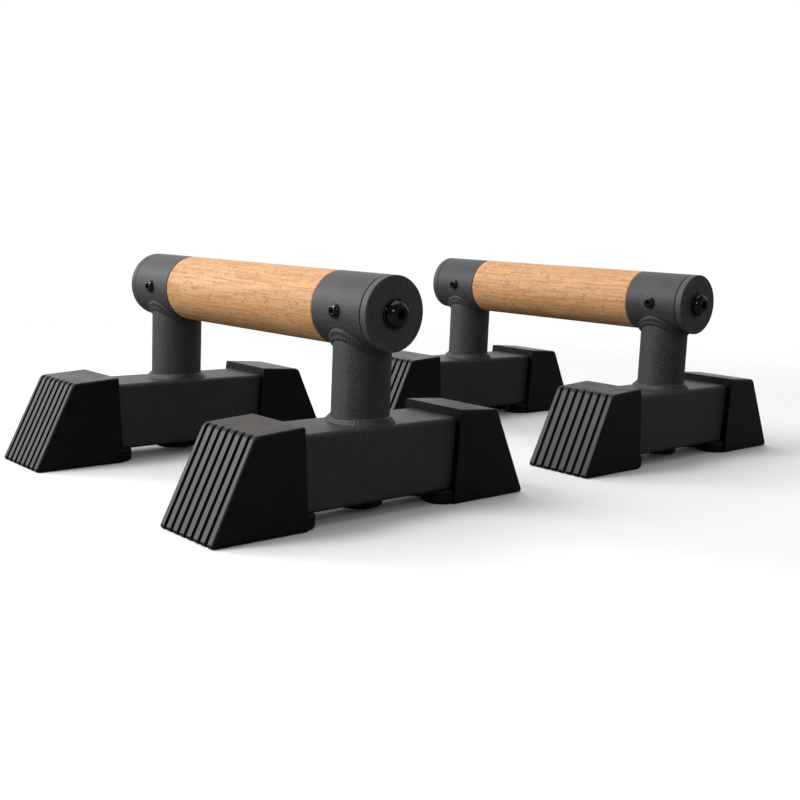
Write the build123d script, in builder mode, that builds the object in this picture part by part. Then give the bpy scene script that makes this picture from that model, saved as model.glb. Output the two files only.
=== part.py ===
from build123d import *
import os

# A pair of low parallel bars (push-up and handstand bars), each a rigid stand of its own.
# Row frame: +Z up, +Y along the handles towards the rear, +X from the left bar to the right bar.
# The origin is on the floor, midway between the two bars. Units are millimetres.

# --- layout of the pair ---------------------------------------------------------------
BAR_SPACING = 330.0          # between the two handle axes, along X
POST_SPACING = 225.0         # between a bar's two posts, along Y
HANDLE_HEIGHT = 129.0        # handle axis above the floor

# --- base tube ------------------------------------------------------------------------
TUBE_WIDTH = 46.0
TUBE_HEIGHT = 49.0
TUBE_WALL = 2.5
TUBE_CORNER = 3.0
TUBE_LENGTH = 190.0
TUBE_BOTTOM = 9.0            # clearance that the feet give the tube
TUBE_TOP = TUBE_BOTTOM + TUBE_HEIGHT

# --- post, collar and end cap ---------------------------------------------------------
POST_DIAMETER = 38.0
POST_WALL = 3.0
COLLAR_DIAMETER = 48.0
COLLAR_WALL = 2.5
COLLAR_LENGTH = 47.0
COLLAR_EDGE_RADIUS = 0.5
CAP_THICKNESS = 6.0
CAP_CHAMFER = 0.5
SEAM_CHAMFER = 0.9           # on the cap's inner rim, towards the collar
SPIGOT_LENGTH = 1.5
SPIGOT_CLEARANCE = 0.3
WELD_LEG = 3.6
WELD_WRAP = 2.0              # how far the lower bead follows the tube's rounded corner

# --- wooden grip ----------------------------------------------------------------------
GRIP_DIAMETER = 48.0
GRIP_CHAMFER = 1.0
TENON_CLEARANCE = 0.2        # radial, inside the collar
TENON_LENGTH = 45.0

# --- fasteners ------------------------------------------------------------------------
CAP_BOLT_SHANK = 10.0
CAP_BOLT_LENGTH = 30.0
CAP_BOLT_HEAD = 17.5
CAP_BOLT_HEAD_HEIGHT = 6.4
CAP_BOLT_FLANGE = 20.0
CAP_BOLT_FLANGE_THICKNESS = 1.2
CAP_BOLT_KEY = 6.0           # hexagon key, across flats
GRIP_SCREW_SHANK = 5.0
GRIP_SCREW_LENGTH = 12.0
GRIP_SCREW_HEAD = 9.5
GRIP_SCREW_HEAD_HEIGHT = 2.75
GRIP_SCREW_KEY = 3.0
HOLE_CLEARANCE = 0.25        # radial, around every shank
TIP_ROOM = 2.0               # depth of a hole beyond the screw's tip
SCREW_TIP_CHAMFER = 0.8
HEAD_NECK = 0.3              # straight side of a screw head, as a share of its height
HEAD_CROWN = 0.6             # flat top of a screw head, as a share of its diameter
HEAD_SOFTNESS = 0.05         # rounding of that top, as a share of its diameter
KEY_FLOOR = 0.4              # bottom of a key socket, as a share of the head height
KEY_CHAMFER = 0.3
INSERT_DIAMETER = 14.0
INSERT_LENGTH = 20.0
INSERT_FLANGE = 18.0
INSERT_FLANGE_THICKNESS = 1.5

# --- rubber end feet ------------------------------------------------------------------
FOOT_WIDTH_BOTTOM = 57.4
FOOT_WIDTH_TOP = 55.4
FOOT_TIP = 130.0             # outer edge on the floor, from the post's axis
FOOT_TOP_OUTER = 100.5       # where the sloping end meets the top
FOOT_TOP_OUTER_HEIGHT = 61.6
FOOT_TOP_INNER = 65.0
FOOT_TOP_INNER_HEIGHT = 63.9
FOOT_BOTTOM_INNER = 61.0
FOOT_TOP_RADIUS = 5.0
FOOT_EDGE_RADIUS = 2.0
FOOT_MOUTH_RADIUS = 0.5      # around the end that the tube goes in
LUG_REACH = 49.0             # inner end of the two lugs under the tube, from the post's axis
LUG_THICKNESS = 8.7
LUG_WIDTH = 25.0
LUG_PITCH = 28.6
LUG_FLAT = 0.5               # half of the straight stretch at a lug's rounded end
LUG_EDGE_RADIUS = 1.2
GROOVE_COUNT = 7
GROOVE_PITCH = 7.35
GROOVE_WIDTH = 3.2
GROOVE_DEPTH = 2.4
GATE_DOT_DIAMETER = 3.0      # moulding mark on each side of a foot
GATE_DOT_DEPTH = 0.5
GATE_DOT_POSITION = 89.0
GATE_DOT_HEIGHT = 10.0

# --- rubber pad under the middle of each base tube ------------------------------------
PAD_DIAMETER = 33.0
PAD_BOTTOM = 3.2
PAD_EDGE_RADIUS = 1.8
PAD_STEM_DIAMETER = 8.0
PAD_STEM_PLAY = 0.2          # between the tube's floor and the barb
PAD_BARB_DIAMETER = 11.0
PAD_BARB_HEIGHT = 2.5
PAD_BARB_TAPER = 25.0        # degrees

# --- positions along a bar, measured outwards from a post's axis ----------------------
COLLAR_OUTER = COLLAR_LENGTH / 2
CAP_OUTER = COLLAR_OUTER + CAP_THICKNESS
TENON_END = TENON_LENGTH - COLLAR_LENGTH / 2
POST_RADIUS = POST_DIAMETER / 2
COLLAR_RADIUS = COLLAR_DIAMETER / 2
TENON_RADIUS = COLLAR_RADIUS - COLLAR_WALL - TENON_CLEARANCE
INSERT_END = TENON_END - INSERT_LENGTH
BOLT_END = CAP_OUTER - CAP_BOLT_LENGTH
OVERRUN = 1.0                # how far a cutting tool passes a surface


def out_plane(x, y, end, reach):
    """Plane across the handle, facing outwards, at a distance from the post's axis."""
    return Plane(origin=(x, y + end * reach, HANDLE_HEIGHT), x_dir=(1, 0, 0), z_dir=(0, end, 0))


def side_plane(x, y, depth):
    """Plane facing -X at the height of the handle's axis, at a depth from that axis."""
    return Plane(origin=(x - depth, y, HANDLE_HEIGHT), x_dir=(0, 1, 0), z_dir=(-1, 0, 0))


def tube_plane(x, y):
    """Plane across a base tube, in the middle of its section and of its length."""
    return Plane(origin=(x, y, TUBE_BOTTOM + TUBE_HEIGHT / 2), x_dir=(0, 1, 0), z_dir=(1, 0, 0))


def make_base_tube(x, y):
    """Rectangular tube along X, with a hole in its floor for the pad's stem."""
    with BuildPart() as base_tube:
        with BuildSketch(tube_plane(x, y)):
            RectangleRounded(TUBE_WIDTH, TUBE_HEIGHT, TUBE_CORNER)
            RectangleRounded(
                TUBE_WIDTH - 2 * TUBE_WALL,
                TUBE_HEIGHT - 2 * TUBE_WALL,
                TUBE_CORNER - TUBE_WALL,
                mode=Mode.SUBTRACT,
            )
        extrude(amount=TUBE_LENGTH / 2, both=True)
        with BuildSketch(Plane(origin=(x, y, TUBE_BOTTOM - OVERRUN))):
            Circle(PAD_STEM_DIAMETER / 2 + HOLE_CLEARANCE)
        extrude(amount=TUBE_WALL + 2 * OVERRUN, mode=Mode.SUBTRACT)
    return base_tube.part


def make_post(x, y):
    """Round tube, square at the base tube and saddle-cut to the collar."""
    with BuildPart() as post:
        with BuildSketch(Plane(origin=(x, y, TUBE_TOP))):
            Circle(POST_RADIUS)
            Circle(POST_RADIUS - POST_WALL, mode=Mode.SUBTRACT)
        extrude(amount=HANDLE_HEIGHT - TUBE_TOP)
        with BuildSketch(out_plane(x, y, 1, 0)):
            Circle(COLLAR_RADIUS)
        extrude(amount=COLLAR_LENGTH, both=True, mode=Mode.SUBTRACT)
    return post.part


def make_collar(x, y):
    """Short tube that holds one end of the grip, drilled for the grip screw."""
    with BuildPart() as collar:
        with BuildSketch(out_plane(x, y, 1, 0)):
            Circle(COLLAR_RADIUS)
            Circle(COLLAR_RADIUS - COLLAR_WALL, mode=Mode.SUBTRACT)
        extrude(amount=COLLAR_LENGTH / 2, both=True)
        rims = collar.edges().filter_by(GeomType.CIRCLE).sort_by(SortBy.RADIUS)[-2:]
        fillet(rims, radius=COLLAR_EDGE_RADIUS)
        with BuildSketch(side_plane(x, y, TENON_RADIUS / 2)):
            Circle(GRIP_SCREW_SHANK / 2 + HOLE_CLEARANCE)
        extrude(amount=COLLAR_RADIUS, mode=Mode.SUBTRACT)
    return collar.part


def make_upper_weld(x, y):
    """Weld bead in the saddle joint, shaped as a chamfer between post and collar."""
    with BuildPart() as upper_weld:
        with BuildSketch(out_plane(x, y, 1, 0)):
            Circle(COLLAR_RADIUS)
        extrude(amount=COLLAR_LENGTH, both=True)
        with BuildSketch(Plane(origin=(x, y, TUBE_TOP))):
            Circle(POST_RADIUS)
        extrude(amount=HANDLE_HEIGHT - TUBE_TOP)
        saddle = (
            upper_weld.edges()
            .filter_by(GeomType.CIRCLE, reverse=True)
            .filter_by(GeomType.LINE, reverse=True)
        )
        chamfer(saddle, length=WELD_LEG)
        with BuildSketch(out_plane(x, y, 1, 0)):
            Circle(COLLAR_RADIUS)
        extrude(amount=COLLAR_LENGTH + OVERRUN, both=True, mode=Mode.SUBTRACT)
        with BuildSketch(Plane(origin=(x, y, TUBE_TOP - OVERRUN))):
            Circle(POST_RADIUS)
        extrude(amount=HANDLE_HEIGHT - TUBE_TOP, mode=Mode.SUBTRACT)
    return upper_weld.part


def make_lower_weld(x, y):
    """Weld bead around the foot of the post, following the tube's rounded corners."""
    root = TUBE_TOP - WELD_WRAP
    with BuildPart() as lower_weld:
        with BuildSketch(Plane(origin=(x, y, 0), x_dir=(1, 0, 0), z_dir=(0, -1, 0))):
            with BuildLine():
                Polyline(
                    (POST_RADIUS, root),
                    (POST_RADIUS + WELD_LEG, root),
                    (POST_RADIUS + WELD_LEG, TUBE_TOP),
                    (POST_RADIUS, TUBE_TOP + WELD_LEG),
                    close=True,
                )
            make_face()
        revolve(axis=Axis((x, y, 0), (0, 0, 1)))
        with BuildSketch(tube_plane(x, y)):
            RectangleRounded(TUBE_WIDTH, TUBE_HEIGHT, TUBE_CORNER)
        extrude(amount=TUBE_LENGTH / 2, both=True, mode=Mode.SUBTRACT)
    return lower_weld.part


def make_end_cap(x, y, end):
    """Disc that closes the collar, with a locating spigot and the bolt's hole."""
    with BuildPart() as end_cap:
        with BuildSketch(out_plane(x, y, end, COLLAR_OUTER)):
            Circle(COLLAR_RADIUS)
        extrude(amount=CAP_THICKNESS)
        rims = end_cap.edges().filter_by(GeomType.CIRCLE).sort_by(Axis.Y)
        outer_rim, seam_rim = (rims[0], rims[-1]) if end < 0 else (rims[-1], rims[0])
        chamfer(outer_rim, length=CAP_CHAMFER)
        chamfer(seam_rim, length=SEAM_CHAMFER)
        with BuildSketch(out_plane(x, y, end, COLLAR_OUTER)):
            Circle(COLLAR_RADIUS - COLLAR_WALL - SPIGOT_CLEARANCE)
        extrude(amount=-SPIGOT_LENGTH)
        with BuildSketch(out_plane(x, y, end, 0)):
            Circle(CAP_BOLT_SHANK / 2 + HOLE_CLEARANCE)
        extrude(amount=CAP_OUTER + OVERRUN, mode=Mode.SUBTRACT)
    return end_cap.part


def make_button_screw(plane, length, shank, head, head_height, key, flange=0.0, rim=0.0):
    """Button-head screw. The plane lies under the head and faces out of the hole."""
    profile = Plane(origin=plane.origin, x_dir=plane.x_dir, z_dir=-plane.y_dir)
    axis = Axis(plane.origin, plane.z_dir)
    neck = rim + HEAD_NECK * (head_height - rim)
    crown = HEAD_CROWN * head / 2
    with BuildPart() as screw:
        with BuildSketch(profile):
            with BuildLine():
                Polyline((head / 2, neck), (head / 2, 0), (0, 0), (0, head_height), (crown, head_height))
                RadiusArc((crown, head_height), (head / 2, neck), head / 2)
            make_face()
        revolve(axis=axis)
        fillet(screw.edges().filter_by(GeomType.CIRCLE).sort_by(axis)[-1], radius=HEAD_SOFTNESS * head)
        if flange:
            with BuildSketch(plane):
                Circle(flange / 2)
            extrude(amount=rim)
            brim = screw.edges().filter_by(GeomType.CIRCLE).sort_by(SortBy.RADIUS)[-2:]
            fillet(brim.sort_by(axis)[-1], radius=rim / 2)
        with BuildSketch(plane.offset(-length)):
            Circle(shank / 2)
        extrude(amount=length)
        tip = screw.edges().filter_by(GeomType.CIRCLE).sort_by(axis)[0]
        chamfer(tip, length=SCREW_TIP_CHAMFER)
        with BuildSketch(plane.offset(KEY_FLOOR * head_height)):
            RegularPolygon(key / 2, 6, major_radius=False)
        extrude(amount=head_height, mode=Mode.SUBTRACT)
        mouth = screw.edges().filter_by(GeomType.LINE).sort_by(axis)[-6:]
        chamfer(mouth, length=KEY_CHAMFER)
    return screw.part


def make_insert(x, y, end):
    """Threaded insert in the end of the wooden grip, for the cap bolt."""
    with BuildPart() as insert:
        with BuildSketch(out_plane(x, y, end, INSERT_END)):
            Circle(INSERT_DIAMETER / 2)
        extrude(amount=INSERT_LENGTH)
        with BuildSketch(out_plane(x, y, end, TENON_END)):
            Circle(INSERT_FLANGE / 2)
        extrude(amount=-INSERT_FLANGE_THICKNESS)
        with BuildSketch(out_plane(x, y, end, INSERT_END - OVERRUN)):
            Circle(CAP_BOLT_SHANK / 2 + HOLE_CLEARANCE)
        extrude(amount=INSERT_LENGTH + 2 * OVERRUN, mode=Mode.SUBTRACT)
    return insert.part


def make_grip(x):
    """Turned wooden grip with a tenon at each end for the collars."""
    visible = POST_SPACING - COLLAR_LENGTH
    with BuildPart() as grip:
        with BuildSketch(out_plane(x, 0, 1, 0)):
            Circle(GRIP_DIAMETER / 2)
        extrude(amount=visible / 2, both=True)
        chamfer(grip.edges().filter_by(GeomType.CIRCLE), length=GRIP_CHAMFER)
        with BuildSketch(out_plane(x, 0, 1, 0)):
            Circle(TENON_RADIUS)
        extrude(amount=visible / 2 + TENON_LENGTH, both=True)
        for end in (-1, 1):
            y = end * POST_SPACING / 2
            with BuildSketch(out_plane(x, y, end, TENON_END)):
                Circle(INSERT_FLANGE / 2)
            extrude(amount=-INSERT_FLANGE_THICKNESS, mode=Mode.SUBTRACT)
            with BuildSketch(out_plane(x, y, end, TENON_END)):
                Circle(INSERT_DIAMETER / 2)
            extrude(amount=-INSERT_LENGTH, mode=Mode.SUBTRACT)
            with BuildSketch(out_plane(x, y, end, TENON_END)):
                Circle(CAP_BOLT_SHANK / 2 + HOLE_CLEARANCE)
            extrude(amount=BOLT_END - TENON_END - TIP_ROOM, mode=Mode.SUBTRACT)
            with BuildSketch(side_plane(x, y, COLLAR_RADIUS)):
                Circle(GRIP_SCREW_SHANK / 2 + HOLE_CLEARANCE)
            extrude(amount=-GRIP_SCREW_LENGTH - TIP_ROOM, mode=Mode.SUBTRACT)
    return grip.part


def make_lugs(x, y, side):
    """Two flat round-ended lugs that reach from a foot's sole inwards under the tube."""
    lug_length = FOOT_TOP_OUTER - LUG_REACH
    lug_centre = x + side * (LUG_REACH + lug_length / 2)
    with BuildPart() as lugs:
        with BuildSketch(Plane(origin=(lug_centre, y, 0))):
            with GridLocations(0, LUG_PITCH, 1, 2):
                RectangleRounded(lug_length, LUG_WIDTH, LUG_WIDTH / 2 - LUG_FLAT)
        extrude(amount=LUG_THICKNESS)
        fillet(lugs.edges().group_by(Axis.Z)[-1], radius=LUG_EDGE_RADIUS)
        fillet(lugs.edges().group_by(Axis.Z)[0], radius=FOOT_EDGE_RADIUS)
    return lugs.part


def make_foot(x, y, side):
    """Rubber end foot: a wedge-shaped block that sleeves over the tube's end."""
    lugs = make_lugs(x, y, side)
    profile = Plane(origin=(x, y, 0), x_dir=(side, 0, 0), z_dir=(0, -side, 0))
    draft = (FOOT_WIDTH_BOTTOM - FOOT_WIDTH_TOP) / 2
    taper = atan2_degrees(draft, FOOT_TOP_INNER_HEIGHT)
    slope = Vector(-side * (FOOT_TIP - FOOT_TOP_OUTER), 0, FOOT_TOP_OUTER_HEIGHT)
    with BuildPart() as foot:
        with BuildSketch(profile):
            with BuildLine():
                Polyline(
                    (FOOT_BOTTOM_INNER, 0),
                    (FOOT_TIP, 0),
                    (FOOT_TOP_OUTER, FOOT_TOP_OUTER_HEIGHT),
                    (FOOT_TOP_INNER, FOOT_TOP_INNER_HEIGHT),
                    close=True,
                )
            make_face()
        extrude(amount=FOOT_WIDTH_BOTTOM / 2, both=True)
        with BuildSketch(Plane(origin=(x + side * FOOT_TIP, y, 0))):
            Rectangle(2 * FOOT_TIP, FOOT_WIDTH_BOTTOM)
        extrude(amount=FOOT_TOP_INNER_HEIGHT + OVERRUN, taper=taper, mode=Mode.INTERSECT)
        crest = foot.edges().filter_by(Axis.Y).group_by(Axis.Z)[-2]
        fillet(crest, radius=FOOT_TOP_RADIUS)
        mouth = foot.faces().sort_by(Axis.X)[0 if side > 0 else -1]
        fillet(foot.edges() - mouth.edges(), radius=FOOT_EDGE_RADIUS)
        mouth = foot.faces().sort_by(Axis.X)[0 if side > 0 else -1]
        fillet(mouth.edges(), radius=FOOT_MOUTH_RADIUS)
        add(lugs)
        with BuildSketch(tube_plane(x, y)):
            RectangleRounded(TUBE_WIDTH, TUBE_HEIGHT, TUBE_CORNER)
        extrude(amount=side * TUBE_LENGTH / 2, mode=Mode.SUBTRACT)
        with BuildSketch(
            Plane(origin=(x + side * FOOT_TIP, y, 0), x_dir=(0, 1, 0), z_dir=tuple(slope))
        ):
            with GridLocations(GROOVE_PITCH, 0, GROOVE_COUNT, 1):
                SlotOverall(2 * GROOVE_DEPTH, GROOVE_WIDTH, rotation=90)
        extrude(amount=FOOT_TIP, both=True, mode=Mode.SUBTRACT)
        for face in (-1, 1):
            mark = Plane(
                origin=(x + side * GATE_DOT_POSITION, y + face * FOOT_WIDTH_BOTTOM / 2, GATE_DOT_HEIGHT),
                x_dir=(1, 0, 0),
                z_dir=(0, face, 0),
            )
            with BuildSketch(mark):
                Circle(GATE_DOT_DIAMETER / 2)
            extrude(amount=-GATE_DOT_DEPTH, mode=Mode.SUBTRACT)
    return foot.part


def make_centre_pad(x, y):
    """Round rubber pad under the tube, held by a barbed stem through the tube's floor."""
    with BuildPart() as centre_pad:
        with BuildSketch(Plane(origin=(x, y, PAD_BOTTOM))):
            Circle(PAD_DIAMETER / 2)
        extrude(amount=TUBE_BOTTOM - PAD_BOTTOM)
        fillet(centre_pad.edges().group_by(Axis.Z)[0], radius=PAD_EDGE_RADIUS)
        with BuildSketch(Plane(origin=(x, y, TUBE_BOTTOM))):
            Circle(PAD_STEM_DIAMETER / 2)
        extrude(amount=TUBE_WALL + PAD_STEM_PLAY)
        with BuildSketch(Plane(origin=(x, y, TUBE_BOTTOM + TUBE_WALL + PAD_STEM_PLAY))):
            Circle(PAD_BARB_DIAMETER / 2)
        extrude(amount=PAD_BARB_HEIGHT, taper=PAD_BARB_TAPER)
    return centre_pad.part


def atan2_degrees(rise, run):
    """Angle in degrees of a slope."""
    return Vector(run, 0, 0).get_angle(Vector(run, rise, 0))


def save(part, name):
    """Write one node."""
    part.label = name
    export_step(part, f"parts/{name}.step")


def make_cap_bolt(x, y, end):
    """Flanged button-head bolt through the end cap into the grip's insert."""
    return make_button_screw(
        out_plane(x, y, end, CAP_OUTER),
        CAP_BOLT_LENGTH,
        CAP_BOLT_SHANK,
        CAP_BOLT_HEAD,
        CAP_BOLT_HEAD_HEIGHT,
        CAP_BOLT_KEY,
        flange=CAP_BOLT_FLANGE,
        rim=CAP_BOLT_FLANGE_THICKNESS,
    )


def make_grip_screw(x, y):
    """Small button-head screw through the collar's side into the tenon."""
    return make_button_screw(
        side_plane(x, y, COLLAR_RADIUS),
        GRIP_SCREW_LENGTH,
        GRIP_SCREW_SHANK,
        GRIP_SCREW_HEAD,
        GRIP_SCREW_HEAD_HEIGHT,
        GRIP_SCREW_KEY,
    )


os.makedirs("parts", exist_ok=True)

for bar, bar_side in (("left", -1), ("right", 1)):
    bar_x = bar_side * BAR_SPACING / 2
    save(make_grip(bar_x), f"{bar}_grip")
    for end_name, end in (("front", -1), ("rear", 1)):
        prefix = f"{bar}_{end_name}"
        post_y = end * POST_SPACING / 2
        save(make_base_tube(bar_x, post_y), f"{prefix}_base_tube")
        save(make_post(bar_x, post_y), f"{prefix}_post")
        save(make_collar(bar_x, post_y), f"{prefix}_collar")
        save(make_lower_weld(bar_x, post_y), f"{prefix}_lower_weld")
        save(make_upper_weld(bar_x, post_y), f"{prefix}_upper_weld")
        save(make_end_cap(bar_x, post_y, end), f"{prefix}_end_cap")
        save(make_cap_bolt(bar_x, post_y, end), f"{prefix}_cap_bolt")
        save(make_insert(bar_x, post_y, end), f"{prefix}_threaded_insert")
        save(make_grip_screw(bar_x, post_y), f"{prefix}_grip_screw")
        save(make_centre_pad(bar_x, post_y), f"{prefix}_centre_pad")
        save(make_foot(bar_x, post_y, bar_side), f"{prefix}_outer_foot")
        save(make_foot(bar_x, post_y, -bar_side), f"{prefix}_inner_foot")
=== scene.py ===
"""A pair of low parallel bars: finishes, weld beads, floor, light and camera on the CAD frame."""

import math
from collections import namedtuple

import bpy
from mathutils import Matrix, Vector, noise


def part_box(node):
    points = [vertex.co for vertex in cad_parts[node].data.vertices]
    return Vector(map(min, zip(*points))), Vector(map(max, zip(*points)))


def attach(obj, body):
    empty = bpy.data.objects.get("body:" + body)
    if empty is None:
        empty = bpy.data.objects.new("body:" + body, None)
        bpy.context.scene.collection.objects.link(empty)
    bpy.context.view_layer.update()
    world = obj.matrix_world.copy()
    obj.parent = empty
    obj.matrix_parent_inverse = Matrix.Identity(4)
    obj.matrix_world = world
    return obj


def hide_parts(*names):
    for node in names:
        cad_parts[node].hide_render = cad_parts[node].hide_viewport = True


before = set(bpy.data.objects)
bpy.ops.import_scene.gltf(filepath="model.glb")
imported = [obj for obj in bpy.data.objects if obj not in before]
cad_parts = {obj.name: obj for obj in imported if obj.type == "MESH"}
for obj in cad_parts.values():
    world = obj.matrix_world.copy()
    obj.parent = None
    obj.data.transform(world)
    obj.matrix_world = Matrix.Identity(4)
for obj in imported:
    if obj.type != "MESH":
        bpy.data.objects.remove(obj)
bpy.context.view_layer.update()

MM = 0.001
BARS = ("left", "right")
ENDS = ("front", "rear")


# --- small tools for objects and node trees ---------------------------------------------
def add_object(name, data):
    """A new object in the scene."""
    item = bpy.data.objects.new(name, data)
    bpy.context.scene.collection.objects.link(item)
    return item


def start_material(name):
    """A new material with an empty node tree."""
    material = bpy.data.materials.new(name)
    material.use_nodes = True
    material.node_tree.nodes.clear()
    return material


def add_node(tree, kind, inputs=None, **settings):
    """Add a node. Inputs are constants, or output sockets that are linked in."""
    node = tree.nodes.new(kind)
    for key, value in settings.items():
        setattr(node, key, value)
    for key, value in (inputs or {}).items():
        if isinstance(value, bpy.types.NodeSocket):
            tree.links.new(value, node.inputs[key])
        else:
            node.inputs[key].default_value = value
    return node


def metres(tree, stretch=(1, 1, 1)):
    """Object coordinates in metres. A bigger stretch packs a pattern tighter along that axis."""
    place = add_node(tree, "ShaderNodeTexCoord").outputs["Object"]
    mapping = {"Vector": place, "Scale": stretch}
    return add_node(tree, "ShaderNodeMapping", mapping).outputs["Vector"]


def noise_at(tree, size, detail=2.0, distortion=0.0, vector=None):
    """Noise whose features are about that many metres across."""
    inputs = {
        "Vector": vector or metres(tree),
        "Scale": 1 / size,
        "Detail": detail,
        "Roughness": 0.55,
        "Distortion": distortion,
    }
    return add_node(tree, "ShaderNodeTexNoise", inputs).outputs["Fac"]


def remap(tree, value, low, high, to_low=0.0, to_high=1.0):
    """Carry a range of a value over to another range, clamped, with soft ends."""
    inputs = {
        "Value": value,
        "From Min": low,
        "From Max": high,
        "To Min": to_low,
        "To Max": to_high,
    }
    node = add_node(tree, "ShaderNodeMapRange", inputs, interpolation_type="SMOOTHSTEP")
    return node.outputs["Result"]


def mix(tree, share, first, second, blend="MIX"):
    """Mix two colours, by a share of the second."""
    node = add_node(tree, "ShaderNodeMix", data_type="RGBA", blend_type=blend)
    for key, value in (("Factor", share), ("A", first), ("B", second)):
        socket = next(s for s in node.inputs if s.name == key and s.enabled)
        if isinstance(value, bpy.types.NodeSocket):
            tree.links.new(value, socket)
        elif key == "Factor":
            socket.default_value = value
        else:
            socket.default_value = (*value, 1)
    return next(s for s in node.outputs if s.enabled)


def lay_over(tree, colour, extra, pattern, start, full, share=1.0):
    """Lay an extra colour on: none where the pattern is at start, the whole share at full."""
    return mix(tree, remap(tree, pattern, start, full, 0, share), colour, extra)


def calc(tree, operation, first, second=0.0):
    """Arithmetic on one or two values."""
    node = add_node(tree, "ShaderNodeMath", {0: first, 1: second}, operation=operation)
    return node.outputs[0]


def bump(tree, height, depth, normal=None):
    """Relief of that depth in metres."""
    inputs = {"Height": height, "Distance": depth, "Strength": 1.0}
    if normal:
        inputs["Normal"] = normal
    return add_node(tree, "ShaderNodeBump", inputs).outputs["Normal"]


EDGE_COSINES = (0.995, 0.85)  # between plain and rounded normals: no edge, full edge


def edge_mask(tree, width):
    """1 along the sharp edges of a piece and 0 on its open faces."""
    rounded = add_node(tree, "ShaderNodeBevel", {"Radius": width}, samples=6).outputs["Normal"]
    flat = add_node(tree, "ShaderNodeNewGeometry").outputs["Normal"]
    dot = add_node(tree, "ShaderNodeVectorMath", {0: rounded, 1: flat}, operation="DOT_PRODUCT")
    return remap(tree, dot.outputs["Value"], *EDGE_COSINES)


def finish_material(material, colour, roughness, normal, **constants):
    """Close a tree with one Principled shader. Constants go straight on its own sockets."""
    tree = material.node_tree
    inputs = {"Base Color": colour, "Roughness": roughness, "Normal": normal}
    inputs.update({key.replace("_", " "): value for key, value in constants.items()})
    shader = add_node(tree, "ShaderNodeBsdfPrincipled", inputs)
    output = add_node(tree, "ShaderNodeOutputMaterial")
    tree.links.new(shader.outputs[0], output.inputs["Surface"])
    return material


# --- finishes ---------------------------------------------------------------------------
NOISE_SPAN = (0.3, 0.7)      # nearly all values of a noise lie between these

# Colours are linear red, green and blue.
COAT_DEEP = (0.034, 0.034, 0.035)
COAT_PALE = (0.044, 0.044, 0.045)
COAT_PALE_SPECK = (0.075, 0.075, 0.076)
COAT_DARK_SPECK = (0.018, 0.018, 0.019)
COAT_PIT = (0.020, 0.020, 0.021)
# Edge colour: worn paint plus a painted highlight.
COAT_EDGE_WEAR_AND_HIGHLIGHT = (0.11, 0.11, 0.112)
CAP_PAINTED_LIGHT_LIFT = 1.4               # painted light: the end caps are painted paler than the rest of the steel


def powder_coat(name, painted_light_lift=1.0):
    """Charcoal powder coat with a sandy grain, edges paler where worn and by a painted highlight.
    The last argument is painted light that brightens it.
    """
    material = start_material(name)
    tree = material.node_tree
    grain = noise_at(tree, 0.6 * MM, detail=3)
    specks = noise_at(tree, 1.4 * MM, detail=4)
    clouds = noise_at(tree, 24 * MM, detail=3)
    colour = mix(tree, remap(tree, clouds, *NOISE_SPAN), COAT_DEEP, COAT_PALE)
    colour = lay_over(tree, colour, COAT_PALE_SPECK, specks, 0.47, 0.62, share=0.5)
    colour = lay_over(tree, colour, COAT_DARK_SPECK, specks, 0.45, 0.33, share=0.45)
    colour = lay_over(tree, colour, COAT_PIT, grain, 0.5, 0.68, share=0.5)
    # Lighter edges: worn paint, plus a painted highlight along the sharp edges.
    wear_and_highlight = remap(tree, specks, 0.3, 0.6, 0.3, 0.8)
    edges = calc(tree, "MULTIPLY", edge_mask(tree, 0.5 * MM), wear_and_highlight)
    colour = mix(tree, edges, colour, COAT_EDGE_WEAR_AND_HIGHLIGHT)
    # Painted light: a factor above 1 paints the whole piece paler.
    colour = mix(tree, 1.0, colour, (painted_light_lift, painted_light_lift, painted_light_lift), blend="MULTIPLY")
    roughness = remap(tree, specks, *NOISE_SPAN, 0.44, 0.6)
    normal = bump(tree, grain, 0.10 * MM, bump(tree, specks, 0.24 * MM))
    return finish_material(material, colour, roughness, normal, IOR=1.48)


BEECH_PALE = (0.71, 0.40, 0.187)
BEECH_DEEP = (0.65, 0.355, 0.156)
BEECH_STREAK = (0.48, 0.235, 0.09)
BEECH_PORE = (0.46, 0.215, 0.08)
BEECH_FLECK = (0.44, 0.175, 0.07)
BEECH_EDGE_HIGHLIGHT = (0.86, 0.60, 0.38)
FLECK_PITCH = 2.0 * MM       # across the grain


def beech_flecks(tree):
    """Short brown dashes along Y, left out where a wider noise is low."""
    cells = {
        "Vector": metres(tree, (1, 0.38, 1)),
        "Scale": 1 / FLECK_PITCH,
        "Randomness": 1.0,
    }
    distance = add_node(tree, "ShaderNodeTexVoronoi", cells).outputs["Distance"]
    chosen = remap(tree, noise_at(tree, 7 * MM), 0.46, 0.58)
    return calc(tree, "MULTIPLY", remap(tree, distance, 0.50, 0.26), chosen)


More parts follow.
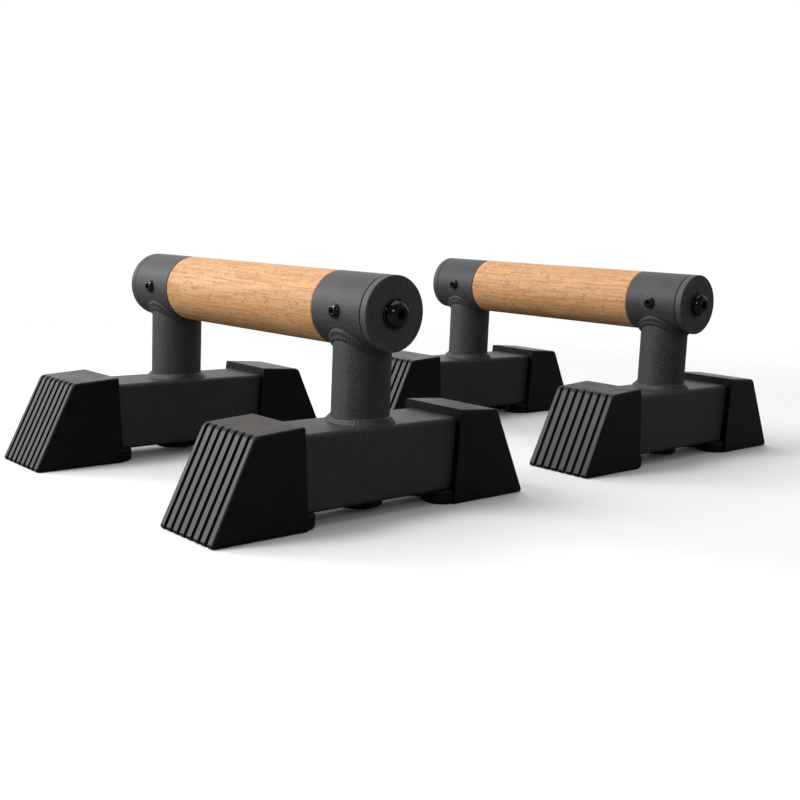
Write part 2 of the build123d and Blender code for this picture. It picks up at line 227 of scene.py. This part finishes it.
def beech():
    """Oiled beech: fine straight grain along Y, soft growth bands, short brown flecks and a
    painted highlight along the edges.
    """
    material = start_material("beech")
    tree = material.node_tree
    bands = noise_at(tree, 9 * MM, detail=3, distortion=0.4, vector=metres(tree, (1, 0.08, 1)))
    streaks = noise_at(tree, 1.6 * MM, detail=4, vector=metres(tree, (1, 0.045, 1)))
    pores = noise_at(tree, 0.9 * MM, detail=3, vector=metres(tree, (1, 0.25, 1)))
    flecks = beech_flecks(tree)
    colour = mix(tree, remap(tree, bands, *NOISE_SPAN), BEECH_PALE, BEECH_DEEP)
    colour = lay_over(tree, colour, BEECH_STREAK, streaks, 0.42, 0.62, share=0.7)
    colour = lay_over(tree, colour, BEECH_PORE, pores, 0.48, 0.68, share=0.45)
    colour = mix(tree, calc(tree, "MULTIPLY", flecks, 0.8), colour, BEECH_FLECK)
    # Painted highlight: a paler rim along the chamfered edges.
    edges = edge_mask(tree, 0.6 * MM)
    colour = mix(tree, calc(tree, "MULTIPLY", edges, 0.8), colour, BEECH_EDGE_HIGHLIGHT)
    roughness = remap(tree, streaks, *NOISE_SPAN, 0.5, 0.62)
    relief = calc(tree, "SUBTRACT", pores, calc(tree, "MULTIPLY", flecks, 0.2))
    normal = bump(tree, relief, 0.08 * MM, bump(tree, streaks, 0.06 * MM))
    return finish_material(material, colour, roughness, normal, IOR=1.45)


RUBBER_DEEP = (0.005, 0.005, 0.0054)
RUBBER_PALE = (0.009, 0.009, 0.0095)
# Dust plus painted light on the ribbed slopes.
RUBBER_DUST_AND_PAINTED_LIGHT = (0.075, 0.075, 0.076)
# Painted light on faces that look up.
RUBBER_TOP_PAINTED_LIGHT = (0.042, 0.042, 0.0425)
# Painted shade on upright faces that look along X.
RUBBER_PAINTED_SHADE = (0.002, 0.002, 0.0022)
# Edge colour: worn rubber plus a painted highlight.
RUBBER_EDGE_WEAR_AND_HIGHLIGHT = (0.08, 0.08, 0.082)


def foot_facings(tree):
    """How far a face looks along X, how far it looks up, and 1 on the ribbed slopes."""
    facing = add_node(tree, "ShaderNodeNewGeometry").outputs["True Normal"]
    parts = add_node(tree, "ShaderNodeSeparateXYZ", {0: facing})
    sideways = calc(tree, "ABSOLUTE", parts.outputs["X"])
    upwards = parts.outputs["Z"]
    sloping = remap(tree, upwards, 0.2, 0.4)
    ribbed = calc(tree, "MULTIPLY", remap(tree, sideways, 0.8, 0.9), sloping)
    return sideways, upwards, ribbed


def foot_rubber():
    """Moulded black rubber, with dust and painted light on the ribbed slopes, painted light on the
    tops and a painted highlight on worn edges.

    Painted shade makes it darkest on upright faces that look along X, such as the one the tube
    goes into.
    """
    material = start_material("foot_rubber")
    tree = material.node_tree
    grain = noise_at(tree, 0.6 * MM, detail=3)
    smears = noise_at(tree, 14 * MM, detail=4, distortion=0.6)
    sideways, upwards, ribbed = foot_facings(tree)
    colour = mix(tree, remap(tree, smears, *NOISE_SPAN), RUBBER_DEEP, RUBBER_PALE)
    # Dust plus painted light: the ribbed slopes are painted paler.
    dust_and_painted_light = calc(tree, "MULTIPLY", ribbed, remap(tree, smears, 0.2, 0.7, 0.75, 1.0))
    colour = mix(tree, dust_and_painted_light, colour, RUBBER_DUST_AND_PAINTED_LIGHT)
    # Painted light: faces that look up are painted paler.
    colour = lay_over(tree, colour, RUBBER_TOP_PAINTED_LIGHT, upwards, 0.9, 0.97)
    # Painted shade: upright faces that look along X are painted darker.
    colour = lay_over(tree, colour, RUBBER_PAINTED_SHADE, sideways, 0.95, 0.99)
    # Lighter edges: worn rubber, plus a painted highlight along the sharp edges.
    wear_and_highlight = remap(tree, grain, 0.3, 0.6, 0.1, 0.45)
    edges = calc(tree, "MULTIPLY", edge_mask(tree, 0.6 * MM), wear_and_highlight)
    colour = mix(tree, edges, colour, RUBBER_EDGE_WEAR_AND_HIGHLIGHT)
    roughness = remap(tree, smears, *NOISE_SPAN, 0.40, 0.50)
    normal = bump(tree, grain, 0.04 * MM, bump(tree, smears, 0.12 * MM))
    gloss = {"IOR": 1.45, "Specular_IOR_Level": 0.28}
    return finish_material(material, colour, roughness, normal, **gloss)


SCREW_DEEP = (0.0015, 0.0015, 0.0017)
SCREW_PALE = (0.003, 0.003, 0.0033)
# Painted highlight along the edges.
SCREW_EDGE_HIGHLIGHT = (0.04, 0.04, 0.042)


def black_screw():
    """Black-plated steel, smooth and glossy, with a very fine grain and a painted highlight along
    the edges.
    """
    material = start_material("black_screw")
    tree = material.node_tree
    haze = noise_at(tree, 3 * MM, detail=3)
    grain = noise_at(tree, 0.4 * MM, detail=2)
    colour = mix(tree, remap(tree, haze, *NOISE_SPAN), SCREW_DEEP, SCREW_PALE)
    # Painted highlight: the edges are painted paler.
    edges = edge_mask(tree, 0.35 * MM)
    colour = mix(tree, calc(tree, "MULTIPLY", edges, 0.5), colour, SCREW_EDGE_HIGHLIGHT)
    roughness = remap(tree, haze, *NOISE_SPAN, 0.07, 0.12)
    normal = bump(tree, grain, 0.006 * MM)
    gloss = {"IOR": 1.58, "Specular_IOR_Level": 0.5}
    return finish_material(material, colour, roughness, normal, **gloss)


BRASS_BRIGHT = (0.72, 0.50, 0.20)
BRASS_DULL = (0.42, 0.27, 0.10)


def insert_brass():
    """Turned brass with a slight tarnish and fine marks across the Y axis."""
    material = start_material("insert_brass")
    tree = material.node_tree
    tarnish = noise_at(tree, 4 * MM, detail=4)
    marks = noise_at(tree, 0.5 * MM, detail=2, vector=metres(tree, (1, 6, 1)))
    colour = lay_over(tree, BRASS_BRIGHT, BRASS_DULL, tarnish, 0.35, 0.7)
    roughness = remap(tree, tarnish, *NOISE_SPAN, 0.25, 0.45)
    normal = bump(tree, marks, 0.03 * MM)
    return finish_material(material, colour, roughness, normal, Metallic=1.0)


FINISHES = {
    "powder_coat": powder_coat("powder_coat"),
    "cap_coat_painted_lighter": powder_coat("cap_coat_painted_lighter", painted_light_lift=CAP_PAINTED_LIGHT_LIFT),
    "beech": beech(),
    "foot_rubber": foot_rubber(),
    "black_screw": black_screw(),
    "insert_brass": insert_brass(),
}
FINISH_OF = {
    "grip": "beech",
    "base_tube": "powder_coat",
    "post": "powder_coat",
    "collar": "powder_coat",
    "lower_weld": "powder_coat",
    "upper_weld": "powder_coat",
    "end_cap": "cap_coat_painted_lighter",
    "cap_bolt": "black_screw",
    "grip_screw": "black_screw",
    "threaded_insert": "insert_brass",
    "centre_pad": "foot_rubber",
    "outer_foot": "foot_rubber",
    "inner_foot": "foot_rubber",
}


def paint_cad_nodes():
    """Give every CAD node its finish, by the piece that its name ends with."""
    for name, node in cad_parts.items():
        finish = next(f for ending, f in FINISH_OF.items() if name.endswith(ending))
        node.data.materials.clear()
        node.data.materials.append(FINISHES[finish])


# --- weld beads -------------------------------------------------------------------------
BEAD_STEPS = 240             # around the post
BEAD_SECTION = 14            # across the bead
BEAD_SINK = 0.2 * MM         # toes set into the metal beneath
RIPPLE_PITCH = 2.1 * MM
RIPPLE_BOW = 1.6             # a ripple's ends trail its middle by a quarter of this, in pitches
LUMP_LENGTH = 5 * MM
LUMP_ROWS = 1.5              # across the bead
LUMP_SHARE = 0.35            # of the crown
WANDER_LENGTH = 7 * MM
WANDER_SHARE = 0.10          # of the leg
WANDER_ROW = 9.1             # keeps clear of the stretch of noise that makes the lumps
TUBE_CORNER = 3.0 * MM       # rounded edges of the base tube
TUBE_LIP = 0.15 * MM         # a bead stops this far inside the tube's side
TINY = 1e-6                  # keeps a divisor off zero

# A leg runs from root to toe, and swell is added to it at front and rear. The rest are heights.
BeadShape = namedtuple("BeadShape", "leg swell crown ridge ripple")
UPPER_SHAPE = BeadShape(
    leg=4.8 * MM,
    swell=-2.2 * MM,
    crown=0.50 * MM,
    ridge=0.50 * MM,
    ripple=0.16 * MM,
)
LOWER_SHAPE = BeadShape(
    leg=2.6 * MM,
    swell=2.2 * MM,
    crown=0.18 * MM,
    ridge=0.28 * MM,
    ripple=0.13 * MM,
)


def bead_height(shape, along, across, seed):
    """Height of a bead over the straight line between its toes."""
    hump = math.sin(math.pi * across)
    ridges = 0.5 - 0.5 * math.cos(4 * math.pi * across)
    bow = RIPPLE_BOW * (across - 0.5) ** 2
    ripple = math.cos(math.tau * (along / RIPPLE_PITCH + bow)) * hump
    lumps = noise.noise(Vector((along / LUMP_LENGTH, across * LUMP_ROWS, seed)))
    crown = shape.crown * hump * (1 + LUMP_SHARE * lumps)
    return crown + shape.ridge * ridges + shape.ripple * ripple


def bead_leg(shape, angle, along, seed):
    """Width of one leg of a bead, which also wanders a little along the seam."""
    wander = 1 + WANDER_SHARE * noise.noise(Vector((along / WANDER_LENGTH, WANDER_ROW, seed)))
    return wander * (shape.leg + shape.swell * abs(math.sin(angle)))


def bead_corners(shape, section_at, radius, seed):
    """Rings of corners: a row over the metal from toe to toe, then one corner at the root."""
    corners = []
    for step in range(BEAD_STEPS):
        angle = math.tau * step / BEAD_STEPS
        along = radius * angle
        root, low_toe, high_toe = section_at(angle, along)
        outward = ((low_toe + high_toe) / 2 - root).normalized()
        for place in range(BEAD_SECTION + 1):
            across = place / BEAD_SECTION
            height = bead_height(shape, along, across, seed)
            corners.append(low_toe.lerp(high_toe, across) + (height - BEAD_SINK) * outward)
        corners.append(root - BEAD_SINK * outward)
    return corners


def bead_faces():
    """Quads from each ring of corners to the next, and from the last to the first."""
    faces = []
    per_ring = BEAD_SECTION + 2
    for step in range(BEAD_STEPS):
        here = step * per_ring
        there = (step + 1) % BEAD_STEPS * per_ring
        for place in range(per_ring):
            after = (place + 1) % per_ring
            faces.append((here + place, there + place, there + after, here + after))
    return faces


def build_bead(name, shape, section_at, radius, seed):
    """Closed ring of metal. section_at gives root, first toe and second toe at an angle."""
    mesh = bpy.data.meshes.new(name)
    mesh.from_pydata(bead_corners(shape, section_at, radius, seed), [], bead_faces())
    mesh.validate()
    mesh.shade_smooth()
    mesh.materials.append(FINISHES["powder_coat"])
    return add_object(name, mesh)


def middle(box):
    """Centre of a box given by two corners."""
    return (box[0] + box[1]) / 2


def upper_bead(prefix, seed):
    """Bead in the saddle between a post and its collar."""
    post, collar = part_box(f"{prefix}_post"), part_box(f"{prefix}_collar")
    centre = middle(collar)
    post_radius = (post[1].x - post[0].x) / 2
    collar_radius = (collar[1].z - collar[0].z) / 2

    def on_collar(arc, shift):
        turn = arc / collar_radius
        return centre + Vector(
            (collar_radius * math.sin(turn), shift, -collar_radius * math.cos(turn))
        )

    def section_at(angle, along):
        slant = post_radius * math.cos(angle) / collar_radius
        arc = collar_radius * math.asin(slant)
        shift = post_radius * math.sin(angle)
        rise = math.sin(angle) / math.sqrt(1 - slant * slant)
        away = Vector((math.cos(angle), rise)).normalized()
        leg = bead_leg(UPPER_SHAPE, angle, along, seed)
        root = on_collar(arc, shift)
        high_toe = on_collar(arc + leg * away.x, shift + leg * away.y)
        return root, root - Vector((0, 0, leg)), high_toe

    return build_bead(f"{prefix}_upper_weld_bead", UPPER_SHAPE, section_at, post_radius, seed)


def lower_bead(prefix, seed):
    """Bead round the foot of a post, which runs down over the tube's rounded corners."""
    post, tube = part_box(f"{prefix}_post"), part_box(f"{prefix}_base_tube")
    centre = middle(post)
    post_radius = (post[1].x - post[0].x) / 2
    half_width = (tube[1].y - tube[0].y) / 2
    top = tube[1].z

    def tube_skin(x, y):
        over = min(max(abs(y) - (half_width - TUBE_CORNER), 0), TUBE_CORNER)
        drop = TUBE_CORNER - math.sqrt(TUBE_CORNER**2 - over**2)
        return Vector((centre.x + x, centre.y + y, top - drop))

    def section_at(angle, along):
        out = Vector((math.cos(angle), math.sin(angle), 0))
        leg = bead_leg(LOWER_SHAPE, angle, along, seed)
        furthest = (half_width - TUBE_LIP) / max(abs(out.y), TINY)
        reach = min(post_radius + leg, furthest)
        root = tube_skin(post_radius * out.x, post_radius * out.y)
        low_toe = tube_skin(reach * out.x, reach * out.y)
        return root, low_toe, root + Vector((0, 0, leg))

    return build_bead(f"{prefix}_lower_weld_bead", LOWER_SHAPE, section_at, post_radius, seed)


def weld_beads():
    """Both beads of every post, each with its own seed. They stand for the plain CAD beads."""
    for bar in BARS:
        for end in ENDS:
            prefix = f"{bar}_{end}"
            seed = 10.0 * BARS.index(bar) + 3.0 * ENDS.index(end)
            for kind, make in (("upper_weld", upper_bead), ("lower_weld", lower_bead)):
                bead = make(prefix, seed + (kind == "upper_weld"))
                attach(bead, f"{bar}_bar")
                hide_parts(f"{prefix}_{kind}")


# --- floor, light and camera ------------------------------------------------------------
FLOOR_RADIUS = 6.0
FLOOR_SIDES = 96
FLOOR_FADE = (0.45, 1.1)     # the floor melts into the background between these radii
FLOOR_PALE = (0.965, 0.965, 0.965)
FLOOR_PALER = (0.975, 0.975, 0.975)
FLOOR_UNSEEN = (0.15, 0.15, 0.15)    # to all rays but the camera's


def fade_to_clear(tree, direct):
    """Let the camera see through the floor more and more towards its rim."""
    shader = next(node for node in tree.nodes if node.type == "BSDF_PRINCIPLED")
    output = next(node for node in tree.nodes if node.type == "OUTPUT_MATERIAL")
    distance = add_node(tree, "ShaderNodeVectorMath", {0: metres(tree)}, operation="LENGTH")
    faded = calc(tree, "MULTIPLY", remap(tree, distance.outputs["Value"], *FLOOR_FADE), direct)
    clear = add_node(tree, "ShaderNodeBsdfTransparent")
    shaders = {0: faded, 1: shader.outputs[0], 2: clear.outputs[0]}
    both = add_node(tree, "ShaderNodeMixShader", shaders)
    tree.links.new(both.outputs[0], output.inputs["Surface"])


def floor_material():
    """Pale to the camera, and dark to all other rays, so that it throws little light upwards."""
    material = start_material("pale_floor")
    tree = material.node_tree
    clouds = noise_at(tree, 0.3, detail=2)
    colour = mix(tree, remap(tree, clouds, *NOISE_SPAN), FLOOR_PALE, FLOOR_PALER)
    roughness = remap(tree, clouds, *NOISE_SPAN, 0.68, 0.7)
    direct = add_node(tree, "ShaderNodeLightPath").outputs["Is Camera Ray"]
    colour = mix(tree, direct, FLOOR_UNSEEN, colour)
    normal = bump(tree, clouds, 0.01 * MM)
    finish_material(material, colour, roughness, normal, Specular_IOR_Level=0.1)
    fade_to_clear(tree, direct)
    return material


def make_floor():
    """Round flat floor under the feet."""
    turns = [math.tau * side / FLOOR_SIDES for side in range(FLOOR_SIDES)]
    ring = [(FLOOR_RADIUS * math.cos(turn), FLOOR_RADIUS * math.sin(turn), 0) for turn in turns]
    mesh = bpy.data.meshes.new("floor")
    mesh.from_pydata(ring, [], [tuple(range(FLOOR_SIDES))])
    mesh.materials.append(floor_material())
    add_object("floor", mesh)


WORLD_BEHIND = 1.19
WORLD_FRONT = 0.29
WORLD_RIGHT = 0.25
GLOSSY_SHARE = 0.35          # reflections see this share of the light in front


def surroundings(tree, rays):
    """Light by direction: most from behind, some from in front and a little from the right."""
    direction = add_node(tree, "ShaderNodeTexCoord").outputs["Generated"]
    parts = add_node(tree, "ShaderNodeSeparateXYZ", {0: direction})
    behind = remap(tree, parts.outputs["Y"], -0.2, 0.8, 0, WORLD_BEHIND)
    in_front = remap(tree, parts.outputs["Y"], 0.2, -0.8, 0, WORLD_FRONT)
    on_right = remap(tree, parts.outputs["X"], 0.3, 1.0, 0, WORLD_RIGHT)
    dimming = remap(tree, rays.outputs["Is Glossy Ray"], 0, 1, 1, GLOSSY_SHARE)
    level = calc(tree, "ADD", behind, calc(tree, "MULTIPLY", in_front, dimming))
    return calc(tree, "ADD", level, on_right)


def make_world():
    """Soft surroundings that the camera sees as plain white."""
    world = bpy.data.worlds.new("studio")
    world.use_nodes = True
    tree = world.node_tree
    tree.nodes.clear()
    rays = add_node(tree, "ShaderNodeLightPath")
    level = surroundings(tree, rays)
    lit = add_node(tree, "ShaderNodeBackground", {"Color": level, "Strength": 1.0})
    seen = add_node(tree, "ShaderNodeBackground", {"Color": (1, 1, 1, 1), "Strength": 1.0})
    shaders = {0: rays.outputs["Is Camera Ray"], 1: lit.outputs[0], 2: seen.outputs[0]}
    both = add_node(tree, "ShaderNodeMixShader", shaders)
    output = add_node(tree, "ShaderNodeOutputWorld")
    tree.links.new(both.outputs[0], output.inputs["Surface"])
    bpy.context.scene.world = world


Lamp = namedtuple("Lamp", "name place target size power")
BARS_MIDDLE = (0, 0, 0.1)
FLOOR_MIDDLE = (0, 0, 0)
LAMPS = (                    # in metres and watts
    Lamp("left_low", (-1.75, 0.45, 0.55), BARS_MIDDLE, (1.2, 0.9), 7.5),
    Lamp("left_high", (-1.45, 0.45, 1.5), BARS_MIDDLE, (0.6, 0.6), 17.9),
    Lamp("back_left", (-1.2, 1.5, 0.9), BARS_MIDDLE, (0.5, 0.4), 10.5),
    Lamp("overhead", (0, 0.2, 2.0), FLOOR_MIDDLE, (2.0, 2.0), 11.7),
    Lamp("front_left", (-0.85, -1.05, 0.68), BARS_MIDDLE, (0.2, 0.2), 0.8),
)


def make_lamp(lamp):
    """Rectangular area light aimed at a point."""
    light = bpy.data.lights.new(lamp.name, "AREA")
    light.shape = "RECTANGLE"
    light.size, light.size_y = lamp.size
    light.energy = lamp.power
    item = add_object(lamp.name, light)
    item.location = lamp.place
    aim = Vector(lamp.target) - Vector(lamp.place)
    item.rotation_euler = aim.to_track_quat("-Z", "Y").to_euler()


def light_studio():
    """Big soft lamps low on the left and overhead. Smaller ones put sparks on screws and bolts."""
    for lamp in LAMPS:
        make_lamp(lamp)
    bpy.context.scene.view_settings.view_transform = "Standard"


CAMERA_PLACE = (-0.6235, -0.6475, 0.1828)
CAMERA_AZIMUTH = math.radians(-41.93)
CAMERA_ELEVATION = math.radians(8.305)
CAMERA_ROLL = math.radians(2.33)
CAMERA_SENSOR = 36           # millimetres, like the lens
CAMERA_LENS = 50.07
CAMERA_SHIFT = (0.0166, -0.0155)


def camera_axes():
    """Right, up and back of the camera, as the columns of a matrix."""
    level = math.cos(CAMERA_ELEVATION)
    back = Vector(
        (
            math.sin(CAMERA_AZIMUTH) * level,
            -math.cos(CAMERA_AZIMUTH) * level,
            math.sin(CAMERA_ELEVATION),
        )
    )
    right = Vector((0, 0, 1)).cross(back).normalized()
    up = back.cross(right)
    turned_right = right * math.cos(CAMERA_ROLL) + up * math.sin(CAMERA_ROLL)
    turned_up = up * math.cos(CAMERA_ROLL) - right * math.sin(CAMERA_ROLL)
    return Matrix((turned_right, turned_up, back)).transposed()


def make_camera():
    """Camera at the photograph's viewing angle, with a small roll."""
    data = bpy.data.cameras.new("camera")
    data.sensor_width = CAMERA_SENSOR
    data.lens = CAMERA_LENS
    data.shift_x, data.shift_y = CAMERA_SHIFT
    data.clip_start = 10 * MM
    camera = add_object("camera", data)
    camera.matrix_world = Matrix.Translation(CAMERA_PLACE) @ camera_axes().to_4x4()
    bpy.context.scene.camera = camera


paint_cad_nodes()
weld_beads()
make_floor()
make_world()
light_studio()
make_camera()
